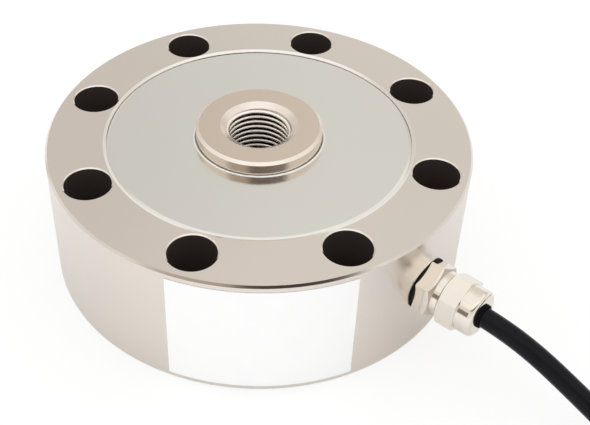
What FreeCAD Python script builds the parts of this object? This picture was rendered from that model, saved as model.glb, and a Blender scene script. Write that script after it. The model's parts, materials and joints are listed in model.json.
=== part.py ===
# Pancake load cell with its cable gland and cable, in millimetres.
# The origin is the centre of the ring's base face. +Z is the loading axis,
# and +X is the direction in which the cable leaves the gland.
import FreeCAD, Part
import math
import os

Vector = FreeCAD.Vector
ORIGIN = Vector(0, 0, 0)
AXIS_X = Vector(1, 0, 0)
AXIS_Y = Vector(0, 1, 0)
AXIS_Z = Vector(0, 0, 1)

# Ring and hub, turned from one blank
outer_diameter = 104.8
ring_height = 33.7
ring_chamfer = 0.5
hub_diameter = 31.3
hub_rise = 3.15
hub_recess = 0.5
hub_bevel = 0.8
hub_bevel_depth = 0.58
thread_diameter = 16.0
countersink_diameter = 19.2
countersink_depth = 1.08

# Steps inside the ring, each narrower than the one above it
board_ledge = 2.0
cover_ledge = 1.7
seat_bevel = 0.75
seat_bevel_depth = 0.27

# Spokes between hub and ring, and the windows milled between them
spoke_count = 4
spoke_thickness = 10.0
spoke_height = 17.0
window_shoulder = 1.0
window_corner = 3.0

# Counterbored bolt circle, and the walls left outside and inside of it
bolt_count = 8
bolt_outer_wall = 2.3
bolt_inner_wall = 1.1
bolt_hole_diameter = 7.0
counterbore_diameter = 11.3
counterbore_depth = 14.0
hole_bevel = 0.32
hole_bevel_depth = 0.24

# Pressed covers, one in each face of the ring, and their seals at the hub
cover_thickness = 0.8
cover_sink = 0.28
cover_clearance = 0.08
cover_bevel = 0.7
cover_bevel_depth = 0.25
lip_gap = 0.15
lip_wall = 0.5

# Strain gauges on both sides of each spoke, in the middle of its flat side
gauge_length = 5.0
gauge_height = 6.0
gauge_thickness = 0.15
lead_diameter = 0.4
lead_inset = 0.8
lead_pitch = 1.4

# Ring-shaped bridge board and its resistors
board_lift = 1.5
board_thickness = 1.0
board_clearance = 0.1
board_rim = 1.0
resistor_diameter = 2.2
resistor_length = 6.0
resistor_wire = 0.5
resistor_wire_reach = 1.5
resistor_angles = {"span_resistor": 20.0, "zero_resistor": -20.0, "temperature_resistor": 45.0}

# Cable gland
gland_height = 17.3
gland_thread_diameter = 8.0
gland_thread_length = 8.5
gland_thread_runout = 0.5
gland_washer_diameter = 13.2
gland_washer_thickness = 0.1
gland_hex_flats = 11.8
gland_hex_length = 4.0
gland_hex_turn = 25.0
gland_collar_diameter = 11.1
gland_collar_length = 1.65
gland_stem_diameter = 8.4
gland_stem_length = 3.9
gland_nut_gap = 0.12
gland_nut_flats = 11.8
gland_nut_length = 4.85
gland_nut_turn = 26.0
gland_dome_diameter = 11.4
gland_dome_length = 4.18
gland_dome_radius = 1.3
gland_dome_wall = 1.0
hex_bevel = 0.2
hex_bevel_angle = 30.0
seal_diameter = 7.2
seal_depth = 3.0
seal_stand = 0.6
seal_neck_wall = 0.5
seal_lip = 0.5
seal_neck_clearance = 0.15
claw_clearance = 0.05
claw_length = 2.2

# Label on the side of the ring
label_width = 43.0
label_height = 30.4
label_thickness = 0.12
label_adhesive = 0.01
label_angle = -47.7

# Cable with its cores
cable_diameter = 4.8
cable_bore_clearance = 0.2
jacket_reach = 2.0
core_diameter = 1.1
core_spread = 0.75
core_stagger = 1.4
core_clearance = 0.3
core_colours = ("red", "black", "green", "white")

# Coil of the spare cable, wound in square layers and tied
coil_distance = 105.6
touchdown_distance = 37.0
coil_columns = 4
coil_layers = 4
column_pitch = 4.9
layer_pitch = 4.85
coil_mean_radius = 28.8
stub_length = 26.0
tail_stub_length = 21.0
tail_stub_fall = 0.12
tail_straight = 9.0
tie_thickness = 0.8
tie_width = 7.0

# Stripped end of the cable
sleeve_length = 9.0
sleeve_wall = 0.4
sleeve_overhang = 2.0
end_core_straight = 6.0
end_core_landing = 12.0
end_core_length = 17.0
end_core_fan = 3.4
end_core_fan_share = 0.75
floor_clearance = 0.03
tip_diameter = 0.7
tip_length = 4.0
screen_diameter = 0.8

# Rules for cuts and bends
cut_margin = 1.0
arc_share = 0.45

# Values that follow from the sizes above
outer_radius = outer_diameter / 2
hub_radius = hub_diameter / 2
hub_top = ring_height + hub_rise
counterbore_radius = counterbore_diameter / 2
bolt_circle_radius = outer_radius - bolt_outer_wall - counterbore_radius
cover_seat_radius = bolt_circle_radius - counterbore_radius - bolt_inner_wall
board_seat_radius = cover_seat_radius - cover_ledge
cavity_radius = board_seat_radius - board_ledge
cover_seat_depth = cover_thickness + cover_sink
cover_floor = ring_height - cover_seat_depth
cover_top = ring_height - cover_sink
lip_radius = hub_radius + lip_gap

spoke_bottom = (ring_height - spoke_height) / 2
spoke_top = spoke_bottom + spoke_height
spoke_middle = ring_height / 2
spoke_angles = [(k + 0.5) * 360 / spoke_count for k in range(spoke_count)]
window_inner_radius = hub_radius + window_shoulder
window_outer_radius = cavity_radius - window_shoulder

corner_offset = spoke_thickness / 2 + window_corner
spoke_flat_start = math.sqrt((window_inner_radius + window_corner) ** 2 - corner_offset ** 2)
spoke_flat_end = math.sqrt((window_outer_radius - window_corner) ** 2 - corner_offset ** 2)
gauge_start = (spoke_flat_start + spoke_flat_end - gauge_length) / 2
lead_places = [gauge_start + gauge_length - lead_inset - k * lead_pitch for k in range(2)]

board_seat = spoke_top + board_lift
board_top = board_seat + board_thickness
board_inner_radius = min(lead_places) - board_rim
board_outer_radius = board_seat_radius - board_clearance

gland_thread_radius = gland_thread_diameter / 2
gland_thread_end = outer_radius - gland_thread_length
gland_hex_start = outer_radius + gland_washer_thickness
gland_hex_end = gland_hex_start + gland_hex_length
gland_collar_end = gland_hex_end + gland_collar_length
gland_stem_radius = gland_stem_diameter / 2
gland_stem_end = gland_collar_end + gland_stem_length
nut_start = gland_collar_end + gland_nut_gap
nut_hex_end = nut_start + gland_nut_length
nut_end = nut_hex_end + gland_dome_length

cable_radius = cable_diameter / 2
cable_bore_radius = cable_radius + cable_bore_clearance
seal_radius = seal_diameter / 2
seal_start = gland_stem_end - seal_depth
seal_shoulder = gland_stem_end + seal_stand
seal_neck_radius = cable_radius + seal_neck_wall
nut_hole_radius = seal_neck_radius + claw_clearance
nut_cone_end = nut_end - gland_dome_wall
jacket_end = cavity_radius + jacket_reach
core_radius = core_diameter / 2
core_corners = [(-1, 1), (-1, -1), (1, -1), (1, 1)]

coil_outer_turn = coil_mean_radius + (coil_columns - 1) / 2 * column_pitch
coil_inner_radius = coil_mean_radius - coil_columns / 2 * column_pitch
coil_outer_radius = coil_mean_radius + coil_columns / 2 * column_pitch
coil_bottom = tie_thickness
coil_top = coil_bottom + coil_layers * layer_pitch
coil_centre = Vector(outer_radius + coil_distance, coil_outer_turn, 0)
first_turn_height = coil_bottom + layer_pitch / 2
last_turn_height = coil_top - layer_pitch / 2

# The cable's route, chosen by hand: from the gland to the coil, and from the coil to its end.
lead_start = Vector(seal_shoulder, 0, gland_height)
lead_touchdown = Vector(coil_centre.x - touchdown_distance, 0, 2.55)
coil_entry = coil_centre + Vector(0, -coil_outer_turn, first_turn_height)
coil_exit = coil_centre + Vector(0, coil_outer_turn, last_turn_height)


def step_towards(start, end, length):
    """The point at this length from start on the way to end."""
    way = end - start
    return start + way * (length / way.Length)


entry_stub = step_towards(coil_entry, lead_touchdown, stub_length)
exit_stub = step_towards(coil_exit, coil_exit + Vector(-1, 0, -tail_stub_fall), tail_stub_length)
tail_bend = step_towards(coil_exit, exit_stub, tail_stub_length + tail_straight)

lead_route = [
    lead_start,
    lead_start + Vector(7.35, 0, 0),
    lead_start + Vector(17.85, 0, -1.7),
    lead_start + Vector(29.85, 0, -6.3),
    lead_start + Vector(45.85, 0, -13.3),
    lead_touchdown,
    entry_stub,
]
tail_route = [
    exit_stub,
    tail_bend,
    coil_centre + Vector(-41.0, 35.85, 9.0),
    coil_centre + Vector(-52.0, 35.25, 3.2),
    coil_centre + Vector(-65.5, 34.05, 2.9),
]


def solid(shape):
    """The shape with its faces turned outwards."""
    if shape.Volume < 0:
        shape.reverse()
    return shape


def profile(start, *steps):
    """Closed face in the XZ plane. A step is a point, or a pair of points for an arc through the first."""
    edges = []
    here = Vector(start[0], 0, start[1])
    for step in steps + (start,):
        if isinstance(step[0], tuple):
            through, end = [Vector(across, 0, along) for across, along in step]
            edges.append(Part.Arc(here, through, end).toShape())
        else:
            end = Vector(step[0], 0, step[1])
            edges.append(Part.LineSegment(here, end).toShape())
        here = end
    return Part.Face(Part.Wire(edges))


def rounded(corner_across, corner_along, radius, side_across, side_along):
    """Middle of the arc that rounds a corner. The sides say on which side of it the arc's centre lies."""
    centre = (corner_across + side_across * radius, corner_along + side_along * radius)
    slant = radius * math.sqrt(0.5)
    return (centre[0] - side_across * slant, centre[1] - side_along * slant)


def turned(*outline):
    """Solid turned about the loading axis, from points (radius, height)."""
    return solid(profile(*outline).revolve(ORIGIN, AXIS_Z, 360))


def turned_on_gland(*outline):
    """Solid turned about the gland's axis, from points (distance along X, radius)."""
    shape = solid(profile(*outline).revolve(ORIGIN, AXIS_X, 360))
    return shape.translated(Vector(0, 0, gland_height))


def gland_cylinder(start, end, radius):
    """Cylinder on the gland's axis."""
    return Part.makeCylinder(radius, end - start, Vector(start, 0, gland_height), AXIS_X)


def around(shape, angles):
    """Copies of a shape, turned about the loading axis."""
    return [shape.rotated(ORIGIN, AXIS_Z, angle) for angle in angles]


def upside_down(shape):
    """The shape moved from the ring's upper face to its base face."""
    return shape.rotated(Vector(0, 0, ring_height / 2), AXIS_X, 180)


def tube(route, diameter, radii=None):
    """Round tube along straight runs joined by tangent arcs, each as large as its two runs allow."""
    edges = []
    here = route[0]
    for before, corner, after in zip(route, route[1:], route[2:]):
        trim = arc_share * min((before - corner).Length, (after - corner).Length)
        start = step_towards(corner, before, trim)
        end = step_towards(corner, after, trim)
        half_turn = (corner - before).getAngle(after - corner) / 2
        radius = trim / math.tan(half_turn)
        depth = radius / math.cos(half_turn) - radius
        middle = step_towards(corner, (start + end) * 0.5, depth)
        edges.append(Part.LineSegment(here, start).toShape())
        edges.append(Part.Arc(start, middle, end).toShape())
        here = end
        if radii is not None:
            radii.append(radius)
    edges.append(Part.LineSegment(here, route[-1]).toShape())
    section = Part.Wire(Part.makeCircle(diameter / 2, route[0], route[1] - route[0]))
    return solid(Part.Wire(edges).makePipeShell([section], True, False))


def hex_prism(square_end, round_end, flats, turn):
    """Hexagon on the gland's axis, bevelled to a circle at one end, with a corner at the angle turn."""
    corner = flats / 2 / math.cos(math.radians(30))
    angles = [math.radians(turn + 60 * k) for k in range(7)]
    length = round_end - square_end
    points = [
        Vector(square_end, corner * math.cos(a), gland_height + corner * math.sin(a)) for a in angles]
    prism = solid(Part.Face(Part.makePolygon(points)).extrude(Vector(length, 0, 0)))
    face_radius = flats / 2 - hex_bevel
    bevel = (corner - face_radius) * math.tan(math.radians(hex_bevel_angle))
    bevel_start = round_end - math.copysign(bevel, length)
    return prism.common(turned_on_gland(
        (square_end, 0), (square_end, corner), (bevel_start, corner),
        (round_end, face_radius), (round_end, 0)))


def turned_blank():
    """Ring, hub and the web between them, as turned."""
    thread_radius = thread_diameter / 2
    countersink_radius = countersink_diameter / 2
    return turned(
        (thread_radius, hub_recess + countersink_depth),
        (countersink_radius, hub_recess),
        (hub_radius - hub_bevel, hub_recess),
        (hub_radius, hub_recess + hub_bevel_depth),
        (hub_radius, spoke_bottom),
        (cavity_radius, spoke_bottom),
        (cavity_radius, cover_seat_depth),
        (cover_seat_radius, cover_seat_depth),
        (cover_seat_radius, seat_bevel_depth),
        (cover_seat_radius + seat_bevel, 0),
        (outer_radius - ring_chamfer, 0),
        (outer_radius, ring_chamfer),
        (outer_radius, ring_height - ring_chamfer),
        (outer_radius - ring_chamfer, ring_height),
        (cover_seat_radius + seat_bevel, ring_height),
        (cover_seat_radius, ring_height - seat_bevel_depth),
        (cover_seat_radius, cover_floor),
        (board_seat_radius, cover_floor),
        (board_seat_radius, board_seat),
        (cavity_radius, board_seat),
        (cavity_radius, spoke_top),
        (hub_radius, spoke_top),
        (hub_radius, hub_top - hub_bevel_depth),
        (hub_radius - hub_bevel, hub_top),
        (countersink_radius, hub_top),
        (thread_radius, hub_top - countersink_depth))


def spoke_windows():
    """The four openings milled through the web, which leave the spokes standing."""
    floor = spoke_bottom - cut_margin
    depth = spoke_height + 2 * cut_margin
    slab = Part.makeCylinder(window_outer_radius, depth, Vector(0, 0, floor))
    slab = slab.cut(Part.makeCylinder(window_inner_radius, depth, Vector(0, 0, floor)))
    slab.rotate(ORIGIN, AXIS_Z, spoke_angles[0])
    bar = Part.makeBox(
        window_outer_radius + cut_margin, spoke_thickness, depth, Vector(0, -spoke_thickness / 2, floor))
    windows = slab.cut(around(bar, spoke_angles)).Solids
    rounded_windows = []
    for window in windows:
        upright = [edge for edge in window.Edges if edge.BoundBox.ZLength > spoke_height]
        rounded_windows.append(window.makeFillet(window_corner, upright))
    return rounded_windows


def bolt_holes():
    """Cutters for the counterbored holes of the bolt circle."""
    hole_radius = bolt_hole_diameter / 2
    floor = ring_height - counterbore_depth
    above = ring_height + cut_margin
    hole = turned(
        (0, -cut_margin), (hole_radius, -cut_margin), (hole_radius, floor), (counterbore_radius, floor),
        (counterbore_radius, ring_height - hole_bevel_depth),
        (counterbore_radius + hole_bevel, ring_height),
        (counterbore_radius + hole_bevel, above), (0, above))
    hole.translate(Vector(bolt_circle_radius, 0, 0))
    return around(hole, [(k + 0.5) * 360 / bolt_count for k in range(bolt_count)])


def sensing_body():
    """Ring, spokes and hub in one piece, with its bolt circle and the hole for the gland."""
    thread_hole = gland_cylinder(
        gland_thread_end - gland_thread_runout, outer_radius + cut_margin, gland_thread_radius)
    wire_hole = gland_cylinder(window_inner_radius, outer_radius, cable_bore_radius)
    return turned_blank().cut(spoke_windows() + bolt_holes() + [thread_hole, wire_hole])


def top_cover():
    """Pressed sheet disc with a bevelled rim and a rolled lip around the hub."""
    rim = cover_seat_radius - cover_clearance
    lip_outside = lip_radius + lip_wall
    bead = lip_wall / 2
    return turned(
        (lip_radius, cover_floor),
        (rim, cover_floor),
        (rim, cover_top - cover_bevel_depth),
        (rim - cover_bevel, cover_top),
        (lip_outside, cover_top),
        ((lip_radius + bead, cover_top + bead), (lip_radius, cover_top)))


def top_hub_seal():
    """Soft ring that closes the gap between the hub and the cover's lip."""
    return turned(
        (hub_radius, cover_floor), (lip_radius, cover_floor),
        (lip_radius, cover_top), (hub_radius, cover_top))


def strain_gauge(angle, side):
    """Foil patch on one side of the spoke at this angle."""
    face = side * spoke_thickness / 2 - (gauge_thickness if side < 0 else 0)
    patch = Part.makeBox(
        gauge_length, gauge_thickness, gauge_height,
        Vector(gauge_start, face, spoke_middle - gauge_height / 2))
    return patch.rotated(ORIGIN, AXIS_Z, angle)


def gauge_leads():
    """Two wires from each gauge up to the underside of the board."""
    wires = []
    offset = spoke_thickness / 2 + gauge_thickness + lead_diameter / 2
    for place in lead_places:
        for side in (1, -1):
            foot = Vector(place, side * offset, spoke_middle)
            wire = Part.makeCylinder(lead_diameter / 2, board_seat - spoke_middle, foot, AXIS_Z)
            wires += around(wire, spoke_angles)
    return Part.makeCompound(wires)


def bridge_board():
    """Flat ring on the step in the ring's wall, above the spokes."""
    return turned(
        (board_inner_radius, board_seat), (board_outer_radius, board_seat),
        (board_outer_radius, board_top), (board_inner_radius, board_top))


def resistor(angle):
    """Wired resistor that lies on the board."""
    place = (board_inner_radius + board_outer_radius) / 2
    height = board_top + resistor_diameter / 2
    reach = resistor_length / 2 + resistor_wire_reach
    wire_radius = resistor_wire / 2
    barrel = Part.makeCylinder(
        resistor_diameter / 2, resistor_length, Vector(place, -resistor_length / 2, height), AXIS_Y)
    wire = Part.makeCylinder(wire_radius, 2 * reach, Vector(place, -reach, height), AXIS_Y)
    pieces = [wire]
    for side in (-reach, reach):
        foot = Vector(place, side, board_top)
        pieces.append(Part.makeCylinder(wire_radius, height - board_top, foot, AXIS_Z))
        pieces.append(Part.makeSphere(wire_radius, Vector(place, side, height)))
    return barrel.fuse(pieces).rotated(ORIGIN, AXIS_Z, angle)


def gland_body():
    """Gland with its inner thread, hexagon, collar and outer stem, bored for the cable and the seal."""
    blank = turned_on_gland(
        (gland_thread_end, 0),
        (gland_thread_end, gland_thread_radius),
        (gland_hex_end, gland_thread_radius),
        (gland_hex_end, gland_collar_diameter / 2),
        (gland_collar_end, gland_collar_diameter / 2),
        (gland_collar_end, gland_stem_radius),
        (gland_stem_end, gland_stem_radius),
        (gland_stem_end, 0))
    hexagon = hex_prism(gland_hex_start, gland_hex_end, gland_hex_flats, gland_hex_turn)
    bore = gland_cylinder(gland_thread_end - cut_margin, gland_stem_end, cable_bore_radius)
    seat = gland_cylinder(seal_start, gland_stem_end + cut_margin, seal_radius)
    return blank.fuse(hexagon).cut([bore, seat])


def gland_washer():
    """Rubber washer between the hexagon and the round wall of the ring."""
    washer = gland_cylinder(gland_thread_end, gland_hex_start, gland_washer_diameter / 2)
    hole = gland_cylinder(gland_thread_end - cut_margin, gland_hex_start + cut_margin, gland_thread_radius)
    wall = Part.makeCylinder(outer_radius, ring_height)
    return washer.cut([hole, wall])


def gland_seal():
    """Rubber sleeve around the cable, with a thin neck whose lip shows at the end of the nut."""
    return turned_on_gland(
        (seal_start, cable_radius),
        (seal_start, seal_radius),
        (seal_shoulder, seal_radius),
        (seal_shoulder, seal_neck_radius),
        (nut_end + seal_lip, seal_neck_radius),
        (nut_end + seal_lip, cable_radius + seal_neck_clearance),
        (seal_shoulder, cable_radius + seal_neck_clearance),
        (seal_shoulder, cable_radius))


def nut_cone_radius(place):
    """Radius of the nut's inner cone at this distance along the gland's axis."""
    share = (place - seal_shoulder) / (nut_cone_end - seal_shoulder)
    return gland_stem_radius + share * (nut_hole_radius - gland_stem_radius)


def gland_claw():
    """Clamping ring that the nut's cone presses against the seal."""
    claw_end = seal_shoulder + claw_length
    return turned_on_gland(
        (seal_shoulder, seal_neck_radius),
        (seal_shoulder, nut_cone_radius(seal_shoulder) - claw_clearance),
        (claw_end, nut_cone_radius(claw_end) - claw_clearance),
        (claw_end, seal_neck_radius))


def gland_nut():
    """Hexagon nut with a round dome, coned inside."""
    dome_radius = gland_dome_diameter / 2
    dome_middle = rounded(nut_end, dome_radius, gland_dome_radius, -1, -1)
    dome = turned_on_gland(
        (nut_start, 0),
        (nut_start, gland_stem_radius + cut_margin),
        (nut_hex_end, gland_stem_radius + cut_margin),
        (nut_hex_end, dome_radius),
        (nut_end - gland_dome_radius, dome_radius),
        (dome_middle, (nut_end, dome_radius - gland_dome_radius)),
        (nut_end, 0))
    inside = turned_on_gland(
        (nut_start - cut_margin, 0),
        (nut_start - cut_margin, gland_stem_radius),
        (seal_shoulder, gland_stem_radius),
        (nut_cone_end, nut_hole_radius),
        (nut_end + cut_margin, nut_hole_radius),
        (nut_end + cut_margin, 0))
    hexagon = hex_prism(nut_hex_end, nut_start, gland_nut_flats, gland_nut_turn)
    return dome.fuse(hexagon).cut(inside)


def label():
    """Sticker that follows the round wall of the ring."""
    bottom = (ring_height - label_height) / 2
    inside = outer_radius + label_adhesive
    outside = inside + label_thickness
    sweep = math.degrees(label_width / inside)
    sheet = profile(
        (inside, bottom), (outside, bottom),
        (outside, bottom + label_height), (inside, bottom + label_height))
    sheet.rotate(ORIGIN, AXIS_Z, label_angle - sweep / 2)
    return solid(sheet.revolve(ORIGIN, AXIS_Z, sweep))


def inner_core(across, up):
    """Core of the cable from the jacket's end in the ring up to the underside of the board."""
    side = across * core_spread
    height = gland_height + up * core_spread
    rise = window_outer_radius - core_clearance - core_radius - (core_stagger if up < 0 else 0)
    return tube(
        [Vector(jacket_end, side, height), Vector(rise, side, height), Vector(rise, side, board_seat)],
        core_diameter)


def rounded_section(inside, outside, bottom, top, corner):
    """Face in the XZ plane with four rounded corners."""
    return profile(
        (inside, bottom + corner),
        (rounded(inside, bottom, corner, 1, 1), (inside + corner, bottom)),
        (outside - corner, bottom),
        (rounded(outside, bottom, corner, -1, 1), (outside, bottom + corner)),
        (outside, top - corner),
        (rounded(outside, top, corner, -1, -1), (outside - corner, top)),
        (inside + corner, top),
        (rounded(inside, top, corner, 1, -1), (inside, top - corner)))


def coil_section(grow=0):
    """Section of the coil's bundle of turns, grown all round."""
    return rounded_section(
        coil_inner_radius - grow, coil_outer_radius + grow, coil_bottom - grow, coil_top + grow,
        cable_radius + grow)


def cable_coil():
    """Outer shape of the coil, with the two short ends where the cable joins it."""
    ring = solid(coil_section().revolve(ORIGIN, AXIS_Z, 360)).translated(coil_centre)
    ends = []
    for joint, end in ((coil_entry, entry_stub), (coil_exit, exit_stub)):
        way = joint - end
        ends.append(Part.makeCylinder(cable_radius, way.Length, end, way))
    return ring.fuse(ends)


def coil_tie():
    """Band around the coil's bundle, on the side away from the ring."""
    sweep = math.degrees(tie_width / coil_mean_radius)
    band = coil_section(tie_thickness).cut(coil_section())
    band.rotate(ORIGIN, AXIS_Z, -sweep / 2)
    return solid(band.revolve(ORIGIN, AXIS_Z, sweep).Solids[0]).translated(coil_centre)


cable_end = tail_route[-1]
end_forward = (tail_route[-1] - tail_route[-2]).normalize()
end_side = AXIS_Z.cross(end_forward).normalize()
end_up = end_forward.cross(end_side)


def end_sleeve():
    """Shrunk sleeve over the end of the jacket."""
    start = cable_end - end_forward * (sleeve_length - sleeve_overhang)
    outside = Part.makeCylinder(cable_radius + sleeve_wall, sleeve_length, start, end_forward)
    inside = Part.makeCylinder(cable_radius, sleeve_length, start, end_forward)
    return outside.cut(inside)


def end_core_route(across, up, fan, radius):
    """Route of one core: out of the jacket, down to the floor and on to its tip."""
    start = cable_end + end_side * (across * core_spread) + end_up * (up * core_spread)
    landing = cable_end + end_forward * end_core_landing + end_side * (fan * end_core_fan_share)
    tip = cable_end + end_forward * end_core_length + end_side * fan
    landing.z = radius + floor_clearance
    tip.z = radius + floor_clearance
    return [start, start + end_forward * end_core_straight, landing, tip]


def end_cores():
    """The four cores at the cable's end and their bare tips."""
    cores = {}
    tips = []
    fans = (-2 * end_core_fan, -end_core_fan, end_core_fan, 2 * end_core_fan)
    for colour, (across, up), fan in zip(core_colours, core_corners, fans):
        route = end_core_route(across, up, fan, core_radius)
        cores["end_core_" + colour] = tube(route, core_diameter)
        way = route[-1] - route[-2]
        tips.append(Part.makeCylinder(tip_diameter / 2, tip_length, route[-1], way))
    cores["core_tips"] = Part.makeCompound(tips)
    return cores


def screen_wire():
    """Twisted screen between the cores."""
    return tube(end_core_route(0, 0, 0, screen_diameter / 2), screen_diameter)


def load_cell():
    """Every piece by its name."""
    pieces = {
        "sensing_body": sensing_body(),
        "top_cover": top_cover(),
        "bottom_cover": upside_down(top_cover()),
        "top_hub_seal": top_hub_seal(),
        "bottom_hub_seal": upside_down(top_hub_seal()),
        "gauge_leads": gauge_leads(),
        "bridge_board": bridge_board(),
        "gland_body": gland_body(),
        "gland_washer": gland_washer(),
        "gland_seal": gland_seal(),
        "gland_claw": gland_claw(),
        "gland_nut": gland_nut(),
        "label": label(),
        "cable_in_gland": gland_cylinder(jacket_end, seal_shoulder, cable_radius),
        "cable_coil": cable_coil(),
        "coil_tie": coil_tie(),
        "end_sleeve": end_sleeve(),
        "screen_wire": screen_wire(),
    }
    sides = [(angle, side) for angle in spoke_angles for side in (-1, 1)]
    for number, (angle, side) in enumerate(sides, start=1):
        pieces[f"strain_gauge_{number}"] = strain_gauge(angle, side)
    for name, angle in resistor_angles.items():
        pieces[name] = resistor(angle)
    for colour, (across, up) in zip(core_colours, core_corners):
        pieces["inner_core_" + colour] = inner_core(across, up)
    pieces.update(end_cores())
    for name, route in (("cable_lead", lead_route), ("cable_tail", tail_route)):
        radii = []
        pieces[name] = tube(route, cable_diameter, radii)
        print(name, "bend radii in mm:", [round(radius, 1) for radius in radii])
    return pieces


os.makedirs("parts", exist_ok=True)
for name, shape in load_cell().items():
    shape.exportStep(f"parts/{name}.step")
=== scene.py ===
"""Looks of a pancake load cell with its cable gland and cable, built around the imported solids."""

import json
import math

import bpy
from mathutils import Matrix, Vector


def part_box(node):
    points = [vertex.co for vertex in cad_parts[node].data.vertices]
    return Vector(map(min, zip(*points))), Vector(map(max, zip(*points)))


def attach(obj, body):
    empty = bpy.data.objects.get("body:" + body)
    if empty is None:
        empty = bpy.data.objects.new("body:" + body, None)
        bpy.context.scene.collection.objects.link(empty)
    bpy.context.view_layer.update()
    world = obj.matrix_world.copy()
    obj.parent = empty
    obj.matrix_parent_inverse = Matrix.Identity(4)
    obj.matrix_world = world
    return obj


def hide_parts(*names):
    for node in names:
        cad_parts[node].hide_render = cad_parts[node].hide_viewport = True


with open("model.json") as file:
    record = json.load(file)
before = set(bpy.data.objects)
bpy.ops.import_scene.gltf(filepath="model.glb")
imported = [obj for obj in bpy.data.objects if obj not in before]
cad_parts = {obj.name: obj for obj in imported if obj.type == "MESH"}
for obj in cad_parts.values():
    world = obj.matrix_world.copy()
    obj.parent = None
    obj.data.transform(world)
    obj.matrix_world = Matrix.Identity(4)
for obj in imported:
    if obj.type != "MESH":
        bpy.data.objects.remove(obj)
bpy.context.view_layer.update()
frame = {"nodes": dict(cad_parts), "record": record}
nodes = frame["nodes"]
MM = 0.001

# Camera at the photograph's place, aimed at the ring's upper face. Its turn is in degrees
camera_turn = 41.47
camera_azimuth = math.radians(camera_turn)
camera_elevation = math.radians(39.81)
camera_roll = math.radians(0.63)
camera_distance = 244.5 * MM
camera_target = Vector((9.04, -12.99, 33.7)) * MM
camera_lens = 63.28
camera_shift = (0.0742, -0.0637)
camera_clip_start = 10 * MM

# Cable. Its points and the sizes of its coil are in millimetres
cable_diameter = 4.8 * MM
lead_points = [
    (62.65, 0.0, 17.3),
    (70.0, 0.0, 17.3),
    (80.5, 0.0, 15.6),
    (92.5, 0.0, 11.0),
    (108.5, 0.0, 4.0),
    (121.0, 0.0, 2.6),
    (132.0, 0.0, 2.9),
]
tail_points = [
    (143.5, 72.3, 17.2),
    (137.15, 72.3, 15.8),
    (128.2, 72.3, 13.7),
    (117.0, 72.0, 9.0),
    (106.0, 71.4, 3.2),
    (92.5, 70.2, 2.9),
]
coil_centre = (158.0, 36.15)
coil_outer_turn = 36.15
coil_columns = 4
coil_layers = 4
column_pitch = 4.9
layer_pitch = 4.85
first_turn_height = 3.225
coil_turns = 15.5
coil_start_angle = 270.0
points_per_turn = 16
column_step = (0.55, 0.8)
layer_step = (0.8, 1.0)
core_colours = ("red", "black", "green", "white")

# Ring, hub and gland, from the frame
mounts = {mount["name"]: mount for mount in frame["record"]["mounts"]}
body_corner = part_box("sensing_body")[1]
nut_low, nut_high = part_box("gland_nut")
ring_height = mounts["upper_face"]["pos_m"][2]
wall_radius = body_corner.x
hub_top = body_corner.z
bore_radius = mounts["load_thread"]["dims"]["r_mm"] * MM
bolt_count = mounts["base_bolts"]["dims"]["count"]
bolt_circle_radius = mounts["base_bolts"]["dims"]["pcd_mm"] / 2 * MM
gland_height = (nut_low.z + nut_high.z) / 2

# Edges and bevels, for the thread and the places of the finishes, the painted highlights and the
# painted shade
hub_radius = 15.65 * MM
hub_recess = 0.5 * MM
hub_bevel = 0.8 * MM
hub_bevel_depth = 0.58 * MM
hub_face_radius = hub_radius - hub_bevel
lip_radius = 15.8 * MM
lip_wall = 0.5 * MM
seat_radius = 37.7 * MM
seat_bevel = 0.75 * MM
countersink_radius = 9.6 * MM
countersink_depth = 1.08 * MM
countersink_slope = (countersink_radius - bore_radius) / countersink_depth
counterbore_radius = 5.65 * MM
gland_hex_end = 56.5 * MM
gland_face_radius = 5.7 * MM
hex_bevel_slope = math.tan(math.radians(30.0))

# Hub thread, M16 x 1.5
thread_pitch = 1.5 * MM
thread_crest_radius = 7.19 * MM
thread_crest_width = 0.375 * MM
thread_root_width = 0.19 * MM
thread_sink = 0.05 * MM
thread_start_gap = 0.75 * MM
thread_end_gap = 0.75 * MM
thread_phase = math.radians(-48.0)
cone_sink = 0.02 * MM
thread_points_per_turn = 72

# Borders of the finishes, the painted highlights and the painted shade: how far each one reaches past
# or short of an edge, and how soft it ends
border_blur = 0.05 * MM
sharp_blur = 0.04 * MM
hub_margin = 0.2 * MM
hub_rise = 1.0 * MM
seat_margin = 0.04 * MM
seat_blur = 0.02 * MM
cone_reach = 2.0 * MM
cone_blur = 0.1 * MM
hole_margin = 0.05 * MM
hole_mouth = 0.3 * MM
hole_shade_depth = 10.0 * MM
bore_reach = 2.1 * MM
bore_blur = 0.2 * MM
wall_margin = 0.075 * MM
wall_blur = 0.025 * MM
hex_bevel_reach = 0.05 * MM
hex_bevel_blur = 0.02 * MM
root_shade_start = 0.45 * MM
root_shade_end = 0.6 * MM
cone_shade_start = 0.45 * MM
cone_shade_end = 0.9 * MM

# Height of the relief on turned, pressed and drawn metal
turned_relief = 0.0006 * MM
pressed_relief = 0.0004 * MM
drawn_relief = 0.004 * MM

# Floor, as the object and as the camera sees it
floor_reach = 3.0
floor_paper = 0.945
floor_shade = 0.22
floor_glow = 0.78

# Studio: tones by height, brighter sides, and the light for mirrors, for dull surfaces and to look at
sky_tones = [
    (0.0, (0.80, 0.80, 0.80)),
    (0.30, (0.74, 0.73, 0.715)),
    (0.55, (0.645, 0.63, 0.60)),
    (0.76, (0.69, 0.672, 0.638)),
    (0.92, (0.86, 0.855, 0.845)),
    (1.0, (0.84, 0.835, 0.825)),
]
side_tone = (0.84, 0.82, 0.785)
side_reach = (0.30, 0.58)
side_rise = (0.44, 0.60)
mirror_strength = 1.25
even_strength = 1.15
backdrop_strength = 1.0

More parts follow.
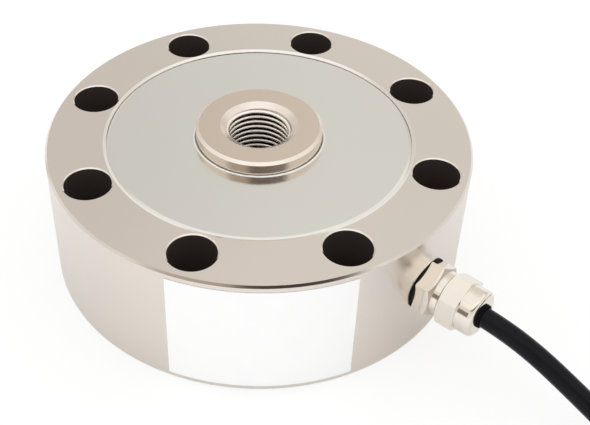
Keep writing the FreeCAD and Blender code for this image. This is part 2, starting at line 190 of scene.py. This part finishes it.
# Soft patches that the metal mirrors, painted over the studio in this order: azimuth, elevation,
# half width and half height in degrees, and tone. Left and right are as the camera sees them
patch_core = 0.55
patch_front = 0.2
studio_patches = {
    "light above camera": (camera_turn - 90.0, 70.0, 46.0, 19.0, (1.0, 0.99, 0.98)),
    "far left, high": (camera_turn + 120.0, 37.0, 30.0, 22.0, (0.60, 0.58, 0.552)),
    "behind camera, left": (-68.5, 43.5, 44.0, 7.0, (0.40, 0.34, 0.29)),
    "behind camera, right": (-31.0, 43.5, 38.5, 7.0, (0.03, 0.022, 0.015)),
    "beside camera, left": (-108.4, 14.4, 10.0, 13.0, (0.22, 0.18, 0.155)),
    "far left, low": (camera_turn + 129.0, 5.0, 24.0, 18.0, (0.58, 0.54, 0.50)),
    "far right, low": (camera_turn + 51.0, 18.0, 22.0, 13.0, (0.61, 0.555, 0.50)),
}


def make_camera():
    """Camera that frames the object as the photograph does."""
    along = Vector((math.cos(camera_azimuth), math.sin(camera_azimuth), 0))
    ahead = Vector((-math.sin(camera_azimuth), math.cos(camera_azimuth), 0))
    back = -ahead * math.cos(camera_elevation) + Vector((0, 0, math.sin(camera_elevation)))
    upright = back.cross(along)
    right = along * math.cos(camera_roll) + upright * math.sin(camera_roll)
    up = upright * math.cos(camera_roll) - along * math.sin(camera_roll)
    data = bpy.data.cameras.new("photo_camera")
    data.lens = camera_lens
    data.shift_x, data.shift_y = camera_shift
    data.clip_start = camera_clip_start
    camera = bpy.data.objects.new("photo_camera", data)
    place = Matrix((right, up, back)).transposed().to_4x4()
    place.translation = camera_target + back * camera_distance
    camera.matrix_world = place
    bpy.context.scene.collection.objects.link(camera)
    bpy.context.scene.camera = camera


def share_of(value, start, end):
    """How far a value is on its way from start to end, from 0 to 1."""
    return min(1.0, max(0.0, (value - start) / (end - start)))


def coil_place(turn):
    """Column, counted from the outside, and layer of the cable after this many turns."""
    done = int(turn)
    layer, step = divmod(done, coil_columns)
    inwards = layer % 2 == 0
    column = step if inwards else coil_columns - 1 - step
    along = turn - done
    if step < coil_columns - 1:
        column += share_of(along, *column_step) * (1 if inwards else -1)
    elif layer < coil_layers - 1:
        layer += share_of(along, *layer_step)
    return column, layer


def coil_points():
    """Control points of the coil's turns, from the bottom outer turn up to the top outer one."""
    # The line touches the middle of each stretch between two points, so the points lie half a step
    # off and a little outside the turn
    points = []
    count = int(coil_turns * points_per_turn)
    widen = 1 / math.cos(math.pi / points_per_turn)
    for number in range(count + 1):
        turn = (number - 0.5) / points_per_turn
        column, layer = coil_place(min(max(turn, 0.0), coil_turns))
        radius = (coil_outer_turn - column * column_pitch) * widen
        angle = math.radians(coil_start_angle + 360 * turn)
        points.append((
            coil_centre[0] + radius * math.cos(angle),
            coil_centre[1] + radius * math.sin(angle),
            first_turn_height + layer * layer_pitch))
    return points


def make_cable():
    """The whole cable on one smooth line: lead, coil and tail."""
    points = lead_points + coil_points() + tail_points
    data = bpy.data.curves.new("cable", "CURVE")
    data.dimensions = "3D"
    data.bevel_depth = 1.0
    data.bevel_resolution = 7
    data.use_fill_caps = True
    data.resolution_u = 8
    spline = data.splines.new("NURBS")
    spline.points.add(len(points) - 1)
    for point, place in zip(spline.points, points):
        point.co = (*(Vector(place) * MM), 1.0)
        point.radius = cable_diameter / 2
    spline.order_u = 3
    spline.use_endpoint_u = True
    cable = bpy.data.objects.new("cable", data)
    bpy.context.scene.collection.objects.link(cable)
    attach(cable, "root")
    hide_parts("cable_lead", "cable_coil", "cable_tail")
    on_cable = ["coil_tie", "end_sleeve", "core_tips", "screen_wire"]
    on_cable += ["end_core_" + colour for colour in core_colours]
    return cable


def add(tree, kind, links=None, **settings):
    """Node with its settings, and its inputs by name or number: a socket is linked, a value is set."""
    made = tree.nodes.new(kind)
    for name, value in settings.items():
        setattr(made, name, value)
    for socket, value in (links or {}).items():
        if isinstance(value, bpy.types.NodeSocket):
            tree.links.new(value, made.inputs[socket])
        else:
            made.inputs[socket].default_value = value
    return made


def maths(tree, operation, *values):
    """Result of a calculation with values and sockets."""
    return add(tree, "ShaderNodeMath", dict(enumerate(values)), operation=operation).outputs[0]


def raised(tree, base, share, mask):
    """Base value plus a share of a mask."""
    return maths(tree, "MULTIPLY_ADD", mask, share, base)


def both(tree, first, second):
    """Mask where two masks meet."""
    return maths(tree, "MULTIPLY", first, second)


def ranged(tree, value, low, high, to_low=0.0, to_high=1.0):
    """Value carried smoothly from one range to another."""
    links = {"Value": value, "From Min": low, "From Max": high, "To Min": to_low, "To Max": to_high}
    return add(tree, "ShaderNodeMapRange", links, interpolation_type="SMOOTHSTEP").outputs["Result"]


def below(tree, value, limit, blur):
    """1 where a value lies below a limit, 0 above it."""
    return ranged(tree, value, limit - blur, limit + blur, 1.0, 0.0)


def above(tree, value, limit, blur):
    """1 where a value lies above a limit, 0 below it."""
    return ranged(tree, value, limit - blur, limit + blur)


def part_along(tree, vector, direction):
    """Part of a vector that runs along a direction."""
    made = add(tree, "ShaderNodeVectorMath", {0: vector, 1: tuple(direction)}, operation="DOT_PRODUCT")
    return made.outputs["Value"]


def flat_length(tree, x, y):
    """Length of a flat vector, from its two parts."""
    flat = add(tree, "ShaderNodeCombineXYZ", {"X": x, "Y": y}).outputs[0]
    return add(tree, "ShaderNodeVectorMath", {0: flat}, operation="LENGTH").outputs["Value"]


def mixed(tree, share, first, second, blend="MIX"):
    """Colour between two colours."""
    made = add(tree, "ShaderNodeMix", {"Factor": share}, data_type="RGBA", blend_type=blend)
    for socket, colour in (("A", first), ("B", second)):
        target = [s for s in made.inputs if s.name == socket and s.type == "RGBA"][0]
        if isinstance(colour, bpy.types.NodeSocket):
            tree.links.new(colour, target)
        else:
            target.default_value = (*colour, 1.0)
    return [s for s in made.outputs if s.type == "RGBA"][0]


def noise(tree, vector, scale, detail, roughness):
    """Soft noise from 0 to 1."""
    links = {"Vector": vector, "Scale": scale, "Detail": detail, "Roughness": roughness}
    return add(tree, "ShaderNodeTexNoise", links).outputs["Fac"]


def new_group(name, inputs, outputs):
    """Empty shader group with named sockets. Gives its tree, its input sockets and its output node."""
    tree = bpy.data.node_groups.new(name, "ShaderNodeTree")
    for socket, kind in inputs:
        tree.interface.new_socket(socket, in_out="INPUT", socket_type=kind)
    for socket in outputs:
        tree.interface.new_socket(socket, in_out="OUTPUT", socket_type="NodeSocketFloat")
    given = tree.nodes.new("NodeGroupInput").outputs
    made = tree.nodes.new("NodeGroupOutput")
    return tree, given, made


def turned_marks_group():
    """Fine rings and lines that a lathe leaves, around the Z axis of the coordinates."""
    tree, given, made = new_group(
        "turned_marks",
        [("Vector", "NodeSocketVector"), ("Fineness", "NodeSocketFloat")],
        ["Marks", "Radius", "Height"])
    here = add(tree, "ShaderNodeSeparateXYZ", {0: given["Vector"]}).outputs
    radius = flat_length(tree, here["X"], here["Y"])
    across = maths(tree, "ADD", radius, here["Z"])
    fine = maths(tree, "MULTIPLY", across, given["Fineness"])
    lines = add(
        tree, "ShaderNodeTexNoise", {"W": fine, "Scale": 1.0, "Detail": 4.0, "Roughness": 0.65},
        noise_dimensions="1D")
    tree.links.new(lines.outputs["Fac"], made.inputs["Marks"])
    tree.links.new(radius, made.inputs["Radius"])
    tree.links.new(here["Z"], made.inputs["Height"])
    return tree


def cloudy_tone_group():
    """Slow clouds over a surface, and a fine speckle on them."""
    tree, given, made = new_group(
        "cloudy_tone",
        [("Vector", "NodeSocketVector"), ("Cloud Scale", "NodeSocketFloat"),
         ("Speckle Scale", "NodeSocketFloat")],
        ["Clouds", "Speckle"])
    clouds = noise(tree, given["Vector"], given["Cloud Scale"], detail=2.0, roughness=0.45)
    speckle = noise(tree, given["Vector"], given["Speckle Scale"], detail=3.0, roughness=0.6)
    tree.links.new(ranged(tree, clouds, 0.3, 0.7), made.inputs["Clouds"])
    tree.links.new(speckle, made.inputs["Speckle"])
    return tree


turned_marks = turned_marks_group()
cloudy_tone = cloudy_tone_group()


def new_material(name, metallic):
    """Material with its tree, shader and object coordinates."""
    material = bpy.data.materials.new(name)
    material.use_nodes = True
    tree = material.node_tree
    shader = tree.nodes["Principled BSDF"]
    shader.inputs["Metallic"].default_value = metallic
    coords = tree.nodes.new("ShaderNodeTexCoord").outputs["Object"]
    return material, tree, shader, coords


def use_group(tree, group, **links):
    """Outputs of a shader group placed in a material."""
    named = {name.replace("_", " "): value for name, value in links.items()}
    return add(tree, "ShaderNodeGroup", named, node_tree=group).outputs


def connect(tree, shader, colour, roughness, height=None, relief=0.0):
    """Links a surface's results to its shader. The relief is in metres."""
    tree.links.new(colour, shader.inputs["Base Color"])
    tree.links.new(roughness, shader.inputs["Roughness"])
    if height is not None:
        bump = add(tree, "ShaderNodeBump", {"Height": height, "Distance": relief, "Strength": 1.0})
        tree.links.new(bump.outputs["Normal"], shader.inputs["Normal"])


def bolt_hole_distance(tree, coords, radius):
    """Distance of a point from the axis of the nearest bolt hole."""
    here = add(tree, "ShaderNodeSeparateXYZ", {0: coords}).outputs
    angle = maths(tree, "ARCTAN2", here["Y"], here["X"])
    sector = 2 * math.pi / bolt_count
    turn = maths(tree, "SUBTRACT", maths(tree, "FLOORED_MODULO", angle, sector), sector / 2)
    outwards = maths(tree, "MULTIPLY", radius, maths(tree, "COSINE", turn))
    sideways = maths(tree, "MULTIPLY", radius, maths(tree, "SINE", turn))
    return flat_length(tree, maths(tree, "SUBTRACT", outwards, bolt_circle_radius), sideways)


def body_places(tree, coords, radius, height):
    """Masks of the places on the body where its plate differs."""
    hub = both(
        tree, below(tree, radius, hub_radius + hub_margin, border_blur),
        ranged(tree, height, ring_height, ring_height + hub_rise))
    hub_edge = both(tree, hub, above(tree, radius, hub_face_radius, border_blur))
    from_hole = bolt_hole_distance(tree, coords, radius)
    return {
        "hub": hub,
        # Bevel where the covers sit, which carries a painted highlight
        "seat": both(
            tree, below(tree, radius, seat_radius + seat_bevel, sharp_blur),
            above(tree, radius, seat_radius - seat_margin, seat_blur)),
        "bevel": both(tree, hub_edge, above(tree, height, hub_top - hub_bevel_depth, border_blur)),
        "cone": both(
            tree, below(tree, radius, countersink_radius, border_blur),
            above(tree, height, hub_top - cone_reach, cone_blur)),
        # Holes and bore, which carry painted shade instead of the plate
        "hole": both(
            tree, below(tree, from_hole, counterbore_radius + hole_margin, sharp_blur),
            below(tree, height, ring_height - hole_mouth, border_blur)),
        "bore": both(
            tree, below(tree, radius, bore_radius + hole_margin, sharp_blur),
            below(tree, height, hub_top - bore_reach, bore_blur)),
        "wall": above(tree, radius, wall_radius - wall_margin, wall_blur),
    }


def plated_steel():
    """Satin nickel plate on the turned body, warmer on the hub, with a painted highlight on the bevel
    where the covers sit and painted shade in the holes and the bore.
    """
    plate_tones = ((0.755, 0.700, 0.650), (0.775, 0.712, 0.655))
    place_tones = {
        "hub": (0.725, 0.625, 0.535),
        # Painted highlight on the bevel where the covers sit
        "seat": (0.87, 0.83, 0.79),
        "bevel": (0.83, 0.76, 0.69),
        "cone": (0.80, 0.73, 0.665),
    }
    # Painted shade in the bolt holes and the bore: near black at the mouth, lighter towards the deep
    # end as a painted lift against the shade that deepens there
    hole_shade_tones = ((0.034, 0.024, 0.020), (0.080, 0.055, 0.046))
    # Roughness of the plate, and what marks, speckle and places add to it
    satin = 0.07
    by_marks = 0.05
    by_speckle = 0.04
    on_slope = 0.18
    on_wall = 0.13
    in_dark = 0.5
    material, tree, shader, coords = new_material("plated_steel", 1.0)
    turned = use_group(tree, turned_marks, Vector=coords, Fineness=9000.0)
    clouded = use_group(tree, cloudy_tone, Vector=coords, Cloud_Scale=28.0, Speckle_Scale=2600.0)
    places = body_places(tree, coords, turned["Radius"], turned["Height"])
    slopes = maths(tree, "MAXIMUM", places["cone"], places["bevel"])
    painted_hole_shade = maths(tree, "MAXIMUM", places["hole"], places["bore"])
    plate = mixed(tree, clouded["Clouds"], *plate_tones)
    for place, tone in place_tones.items():
        plate = mixed(tree, places[place], plate, tone)
    # Painted shade fills the holes and the bore, lighter with depth
    depth = ranged(tree, turned["Height"], ring_height, ring_height - hole_shade_depth)
    colour = mixed(tree, painted_hole_shade, plate, mixed(tree, depth, *hole_shade_tones))
    rough = raised(tree, satin, by_marks, turned["Marks"])
    rough = raised(tree, rough, by_speckle, clouded["Speckle"])
    for mask, dullness in ((slopes, on_slope), (places["wall"], on_wall), (painted_hole_shade, in_dark)):
        rough = raised(tree, rough, dullness, mask)
    connect(tree, shader, colour, rough, turned["Marks"], turned_relief)
    tree.links.new(maths(tree, "SUBTRACT", 1.0, painted_hole_shade), shader.inputs["Metallic"])
    return material


def cover_sheet():
    """Fine matte plate on the pressed covers, with a painted highlight on the lip at the hub."""
    plate_tones = ((0.770, 0.772, 0.725), (0.785, 0.762, 0.742))
    # Painted highlight on the lip at the hub
    lip_highlight_tone = (0.97, 0.97, 0.96)
    matte = 0.12
    by_speckle = 0.08
    on_lip = 0.25
    material, tree, shader, coords = new_material("cover_sheet", 1.0)
    turned = use_group(tree, turned_marks, Vector=coords, Fineness=4000.0)
    clouded = use_group(tree, cloudy_tone, Vector=coords, Cloud_Scale=32.0, Speckle_Scale=3200.0)
    lip = below(tree, turned["Radius"], lip_radius + lip_wall, border_blur)
    colour = mixed(tree, lip, mixed(tree, clouded["Clouds"], *plate_tones), lip_highlight_tone)
    rough = raised(tree, matte, by_speckle, clouded["Speckle"])
    rough = raised(tree, rough, on_lip, lip)
    connect(tree, shader, colour, rough, turned["Marks"], pressed_relief)
    return material


def gland_metal():
    """Bright nickel plate on the gland, turned around its own axis, dull on the hexagon's bevel, which
    also carries painted shade.
    """
    plate_tones = ((0.84, 0.775, 0.68), (0.81, 0.755, 0.685))
    # Painted shade on the hexagon's bevel
    bevel_shade_tone = (0.66, 0.60, 0.52)
    bright = 0.03
    by_marks = 0.06
    on_bevel = 0.5
    material, tree, shader, coords = new_material("gland_metal", 1.0)
    lying = add(tree, "ShaderNodeMapping", {
        "Vector": coords, "Location": (gland_height, 0.0, 0.0),
        "Rotation": (0.0, math.radians(-90), 0.0)})
    turned = use_group(tree, turned_marks, Vector=lying.outputs[0], Fineness=7000.0)
    clouded = use_group(tree, cloudy_tone, Vector=coords, Cloud_Scale=150.0, Speckle_Scale=3000.0)
    along = add(tree, "ShaderNodeSeparateXYZ", {0: coords}).outputs["X"]
    from_face = maths(tree, "SUBTRACT", turned["Radius"], gland_face_radius)
    bevel_end = raised(tree, gland_hex_end, -hex_bevel_slope, from_face)
    off_bevel = maths(tree, "ABSOLUTE", maths(tree, "SUBTRACT", along, bevel_end))
    bevel = below(tree, off_bevel, hex_bevel_reach, hex_bevel_blur)
    colour = mixed(tree, bevel, mixed(tree, clouded["Clouds"], *plate_tones), bevel_shade_tone)
    rough = raised(tree, bright, by_marks, turned["Marks"])
    rough = raised(tree, rough, on_bevel, bevel)
    connect(tree, shader, colour, rough, turned["Marks"], turned_relief)
    return material


def thread_plating():
    """Bright ridge of the thread in the hub, with painted shade towards its root."""
    crest_tone = (1.0, 0.95, 0.87)
    root_shade_tone = (0.02, 0.016, 0.012)
    dull = 0.30
    by_marks = 0.1
    material, tree, shader, coords = new_material("thread_plating", 1.0)
    turned = use_group(tree, turned_marks, Vector=coords, Fineness=9000.0)
    from_crest = maths(tree, "SUBTRACT", turned["Radius"], thread_crest_radius)
    from_top = maths(tree, "SUBTRACT", hub_top, turned["Height"])
    cone = raised(tree, countersink_radius, -countersink_slope, from_top)
    from_cone = maths(tree, "SUBTRACT", turned["Radius"], cone)
    # Painted shade deep in the groove, away from the crest and from the countersink
    root = ranged(tree, from_crest, root_shade_start, root_shade_end)
    groove_shade = both(tree, root, ranged(tree, from_cone, cone_shade_start, cone_shade_end))
    colour = mixed(tree, groove_shade, crest_tone, root_shade_tone)
    connect(tree, shader, colour, raised(tree, dull, by_marks, turned["Marks"]))
    return material


def soft_surface(name, first, second, roughness, scale, relief, gloss):
    """Rubber, film or plastic: two close tones in clouds, and a fine grain that changes the gloss."""
    spread = 0.12
    grains_per_cloud = 12
    material, tree, shader, coords = new_material(name, 0.0)
    shader.inputs["Specular IOR Level"].default_value = gloss
    clouded = use_group(
        tree, cloudy_tone, Vector=coords, Cloud_Scale=scale / grains_per_cloud, Speckle_Scale=scale)
    colour = mixed(tree, clouded["Clouds"], first, second)
    rough = raised(tree, roughness - spread / 2, spread, clouded["Speckle"])
    connect(tree, shader, colour, rough, clouded["Speckle"], relief)
    return material


def wire_metal(name, first, second, roughness):
    """Drawn wire: two close tones and a fine grain."""
    spread = 0.2
    material, tree, shader, coords = new_material(name, 1.0)
    clouded = use_group(tree, cloudy_tone, Vector=coords, Cloud_Scale=400.0, Speckle_Scale=5000.0)
    colour = mixed(tree, clouded["Clouds"], first, second)
    rough = raised(tree, roughness - spread / 2, spread, clouded["Speckle"])
    connect(tree, shader, colour, rough, clouded["Speckle"], drawn_relief)
    return material


# Two close tones, roughness, grain scale, grain height in metres and gloss of the soft surfaces
soft_finishes = {
    "black_rubber": ((0.004, 0.004, 0.004), (0.007, 0.006, 0.006), 0.6, 4000.0, 6e-6, 0.08),
    "clear_sealant": ((0.24, 0.20, 0.17), (0.30, 0.26, 0.22), 0.35, 1500.0, 20e-6, 0.5),
    "claw_nylon": ((0.78, 0.77, 0.72), (0.84, 0.83, 0.79), 0.4, 2500.0, 4e-6, 0.5),
    "label_film": ((0.905, 0.905, 0.907), (0.91, 0.91, 0.91), 0.4, 3000.0, 1e-6, 0.5),
    "gauge_film": ((0.66, 0.36, 0.10), (0.74, 0.44, 0.14), 0.3, 2500.0, 3e-6, 0.5),
    "board_laminate": ((0.03, 0.20, 0.07), (0.05, 0.26, 0.10), 0.35, 1800.0, 4e-6, 0.5),
    "resistor_coat": ((0.22, 0.42, 0.58), (0.26, 0.47, 0.64), 0.2, 2500.0, 4e-6, 0.5),
    "cable_jacket": ((0.003, 0.003, 0.0055), (0.005, 0.0045, 0.0075), 0.30, 2200.0, 12e-6, 0.14),
    "tie_strap": ((0.02, 0.02, 0.02), (0.035, 0.035, 0.035), 0.75, 1600.0, 60e-6, 0.3),
    "shrink_sleeve": ((0.008, 0.008, 0.008), (0.012, 0.012, 0.012), 0.3, 1200.0, 10e-6, 0.3),
    "red_insulation": ((0.55, 0.02, 0.02), (0.62, 0.04, 0.03), 0.3, 3000.0, 4e-6, 0.5),
    "black_insulation": ((0.012, 0.012, 0.012), (0.02, 0.02, 0.02), 0.3, 3000.0, 4e-6, 0.4),
    "green_insulation": ((0.02, 0.28, 0.06), (0.04, 0.34, 0.09), 0.3, 3000.0, 4e-6, 0.5),
    "white_insulation": ((0.82, 0.82, 0.80), (0.87, 0.87, 0.85), 0.3, 3000.0, 4e-6, 0.5),
}
finishes = {
    "plated_steel": plated_steel(),
    "cover_sheet": cover_sheet(),
    "gland_metal": gland_metal(),
    "bare_copper": wire_metal("bare_copper", (0.80, 0.42, 0.26), (0.86, 0.50, 0.32), 0.3),
    "tinned_copper": wire_metal("tinned_copper", (0.70, 0.68, 0.64), (0.80, 0.78, 0.74), 0.35),
}
for finish, values in soft_finishes.items():
    finishes[finish] = soft_surface(finish, *values)


def wound_ridge(tree, given):
    """Ridge of a thread wound around the Z axis, with its crest towards the axis."""
    rise = maths(tree, "MULTIPLY", given["Pitch"], given["Turns"])
    spiral = add(tree, "GeometryNodeCurveSpiral", {
        "Resolution": given["Points Per Turn"], "Rotations": given["Turns"], "Height": rise,
        "Start Radius": given["Root Radius"], "End Radius": given["Root Radius"], "Reverse": True})
    upright = add(tree, "GeometryNodeSetCurveNormal", {"Curve": spiral.outputs[0]}, mode="Z_UP")
    depth = maths(tree, "SUBTRACT", given["Root Radius"], given["Crest Radius"])
    section = add(tree, "GeometryNodeCurvePrimitiveQuadrilateral", mode="TRAPEZOID", links={
        "Height": depth, "Bottom Width": given["Base Width"], "Top Width": given["Crest Width"],
        "Offset": 0.0})
    shift = add(tree, "ShaderNodeCombineXYZ", {"X": maths(tree, "DIVIDE", depth, -2.0)})
    placed = add(tree, "GeometryNodeTransform", {
        "Geometry": section.outputs[0], "Translation": shift.outputs[0],
        "Rotation": (0.0, 0.0, math.pi / 2)})
    ridge = add(tree, "GeometryNodeCurveToMesh", {
        "Curve": upright.outputs[0], "Profile Curve": placed.outputs[0], "Fill Caps": True})
    lift = add(tree, "ShaderNodeCombineXYZ", {"Z": given["Start"]})
    turn = add(tree, "ShaderNodeCombineXYZ", {"Z": given["Phase"]})
    lifted = add(tree, "GeometryNodeTransform", {
        "Geometry": ridge.outputs[0], "Translation": lift.outputs[0], "Rotation": turn.outputs[0]})
    return lifted.outputs[0]


def trimmed_by_cones(tree, given, ridge):
    """Ridge pushed outwards where it would stand in the countersinks at the bore's ends."""
    position = tree.nodes.new("GeometryNodeInputPosition").outputs[0]
    here = add(tree, "ShaderNodeSeparateXYZ", {0: position}).outputs
    radius = flat_length(tree, here["X"], here["Y"])
    from_top = maths(tree, "SUBTRACT", given["Bore Top"], here["Z"])
    from_bottom = maths(tree, "SUBTRACT", here["Z"], given["Bore Bottom"])
    inside = maths(tree, "MINIMUM", from_top, from_bottom)
    narrower = maths(tree, "MULTIPLY", inside, given["Cone Slope"])
    cone = maths(tree, "SUBTRACT", given["Cone Radius"], narrower)
    widen = maths(tree, "DIVIDE", maths(tree, "MAXIMUM", radius, cone), radius)
    place = add(tree, "ShaderNodeCombineXYZ", {
        "X": maths(tree, "MULTIPLY", here["X"], widen),
        "Y": maths(tree, "MULTIPLY", here["Y"], widen),
        "Z": here["Z"]})
    trimmed = add(tree, "GeometryNodeSetPosition", {"Geometry": ridge, "Position": place.outputs[0]})
    return trimmed.outputs[0]


def thread_tree(material):
    """Geometry Nodes that wind one ridge of the thread up the hub's bore."""
    tree = bpy.data.node_groups.new("hub_thread", "GeometryNodeTree")
    sizes = (
        "Pitch", "Turns", "Root Radius", "Crest Radius", "Crest Width", "Base Width", "Start",
        "Bore Bottom", "Bore Top", "Cone Radius", "Cone Slope", "Phase")
    for name in sizes:
        tree.interface.new_socket(name, in_out="INPUT", socket_type="NodeSocketFloat")
    tree.interface.new_socket("Points Per Turn", in_out="INPUT", socket_type="NodeSocketInt")
    tree.interface.new_socket("Geometry", in_out="OUTPUT", socket_type="NodeSocketGeometry")
    given = tree.nodes.new("NodeGroupInput").outputs
    made = tree.nodes.new("NodeGroupOutput")
    ridge = trimmed_by_cones(tree, given, wound_ridge(tree, given))
    real = add(tree, "GeometryNodeRealizeInstances", {0: ridge})
    dressed = add(tree, "GeometryNodeSetMaterial", {"Geometry": real.outputs[0], "Material": material})
    tree.links.new(dressed.outputs[0], made.inputs["Geometry"])
    return tree


def made_by_nodes(name, tree, sizes):
    """Plain mesh object with what a Geometry Nodes tree makes from these sizes."""
    start = bpy.data.objects.new(name, bpy.data.meshes.new(name))
    bpy.context.scene.collection.objects.link(start)
    modifier = start.modifiers.new("shape", "NODES")
    modifier.node_group = tree
    for item in tree.interface.items_tree:
        if item.in_out == "INPUT" and item.name in sizes:
            modifier[item.identifier] = sizes[item.name]
    evaluated = start.evaluated_get(bpy.context.evaluated_depsgraph_get())
    mesh = bpy.data.meshes.new_from_object(evaluated)
    start.modifiers.remove(modifier)
    start.data = mesh
    return start


def make_thread():
    """Ridge of the hub's thread, trimmed by the countersinks at both ends."""
    start = hub_recess + thread_start_gap
    turns = (hub_top - thread_end_gap - start) / thread_pitch
    thread = made_by_nodes("hub_thread", thread_tree(thread_plating()), {
        "Pitch": thread_pitch, "Turns": turns, "Root Radius": bore_radius + thread_sink,
        "Crest Radius": thread_crest_radius, "Crest Width": thread_crest_width,
        "Base Width": thread_pitch - thread_root_width, "Start": start, "Bore Bottom": hub_recess,
        "Bore Top": hub_top, "Cone Radius": countersink_radius + cone_sink,
        "Cone Slope": countersink_slope, "Phase": thread_phase,
        "Points Per Turn": thread_points_per_turn})
    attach(thread, "root")


def dress_nodes():
    """Gives each solid the finish that the record names for it."""
    for part in frame["record"]["subparts"]:
        mesh = nodes[part["node"]].data
        mesh.materials.clear()
        mesh.materials.append(finishes[part["material_slot"]])


def make_floor():
    """Pale floor that the camera sees as white with a faint shadow."""
    material = bpy.data.materials.new("floor")
    material.use_nodes = True
    tree = material.node_tree
    tree.nodes.clear()
    paper = add(tree, "ShaderNodeBsdfDiffuse", {"Color": (floor_paper, floor_paper, floor_paper, 1.0)})
    shade = add(tree, "ShaderNodeBsdfDiffuse", {"Color": (floor_shade, floor_shade, floor_shade, 1.0)})
    white = add(tree, "ShaderNodeEmission", {"Color": (1.0, 1.0, 1.0, 1.0), "Strength": floor_glow})
    shown = add(tree, "ShaderNodeAddShader", {0: shade.outputs[0], 1: white.outputs[0]})
    path = tree.nodes.new("ShaderNodeLightPath").outputs
    either = add(tree, "ShaderNodeMixShader", {
        0: path["Is Camera Ray"], 1: paper.outputs[0], 2: shown.outputs[0]})
    add(tree, "ShaderNodeOutputMaterial", {"Surface": either.outputs[0]})
    mesh = bpy.data.meshes.new("floor")
    corners = [(x * floor_reach, y * floor_reach, 0) for x, y in ((-1, -1), (1, -1), (1, 1), (-1, 1))]
    mesh.from_pydata(corners, [], [(0, 1, 2, 3)])
    mesh.materials.append(material)
    floor = bpy.data.objects.new("floor", mesh)
    bpy.context.scene.collection.objects.link(floor)


def soft_patch(tree, way, azimuth, elevation, half_width, half_height):
    """1 in a soft oval part of the studio, 0 outside it. Angles and half sizes are in degrees."""
    turn = math.radians(azimuth)
    rise = math.radians(elevation)
    across = Vector((-math.sin(turn), math.cos(turn), 0.0))
    outwards = Vector((math.cos(turn), math.sin(turn), 0.0))
    middle = outwards * math.cos(rise) + Vector((0.0, 0.0, math.sin(rise)))
    wide = math.sin(math.radians(half_width))
    high = math.sin(math.radians(half_height))
    sideways = maths(tree, "DIVIDE", part_along(tree, way, across), wide)
    upwards = maths(tree, "DIVIDE", part_along(tree, way, middle.cross(across)), high)
    from_middle = flat_length(tree, sideways, upwards)
    in_front = ranged(tree, part_along(tree, way, middle), 0.0, patch_front)
    return both(tree, ranged(tree, from_middle, patch_core, 1.0, 1.0, 0.0), in_front)


def sky_by_height(tree, height):
    """Tone of the studio between the floor and the ceiling."""
    ramp = add(tree, "ShaderNodeValToRGB", {"Fac": height})
    points = ramp.color_ramp.elements
    while len(points) < len(sky_tones):
        points.new(0.5)
    for point, (place, colour) in zip(points, sky_tones):
        point.position = place
        point.color = (*colour, 1.0)
    return ramp.outputs["Color"]


def mirrored_studio(tree):
    """What the metal mirrors: pale tones by height, brighter sides, and the soft patches over them."""
    way = tree.nodes.new("ShaderNodeTexCoord").outputs["Generated"]
    height = add(tree, "ShaderNodeSeparateXYZ", {0: way}).outputs["Z"]
    across = (math.cos(camera_azimuth), math.sin(camera_azimuth), 0.0)
    aside = maths(tree, "ABSOLUTE", part_along(tree, way, across))
    sides = both(tree, ranged(tree, aside, *side_reach), ranged(tree, height, *side_rise))
    sky = mixed(tree, sides, sky_by_height(tree, height), side_tone, "LIGHTEN")
    for *place, tone in studio_patches.values():
        sky = mixed(tree, soft_patch(tree, way, *place), sky, tone)
    return sky


def make_studio():
    """White studio: mirrors show its tones and patches, dull surfaces get even light."""
    world = bpy.data.worlds.new("studio")
    world.use_nodes = True
    tree = world.node_tree
    tree.nodes.clear()
    white = (1.0, 1.0, 1.0, 1.0)
    around = add(tree, "ShaderNodeBackground", {
        "Color": mirrored_studio(tree), "Strength": mirror_strength})
    even = add(tree, "ShaderNodeBackground", {"Color": white, "Strength": even_strength})
    plain = add(tree, "ShaderNodeBackground", {"Color": white, "Strength": backdrop_strength})
    path = tree.nodes.new("ShaderNodeLightPath").outputs
    lit = add(tree, "ShaderNodeMixShader", {
        0: path["Is Diffuse Ray"], 1: around.outputs[0], 2: even.outputs[0]})
    either = add(tree, "ShaderNodeMixShader", {
        0: path["Is Camera Ray"], 1: lit.outputs[0], 2: plain.outputs[0]})
    add(tree, "ShaderNodeOutputWorld", {"Surface": either.outputs[0]})
    bpy.context.scene.world = world


make_camera()
cable = make_cable()
cable.data.materials.append(finishes["cable_jacket"])
dress_nodes()
make_thread()
make_floor()
make_studio()
bpy.context.scene.view_settings.view_transform = "Standard"
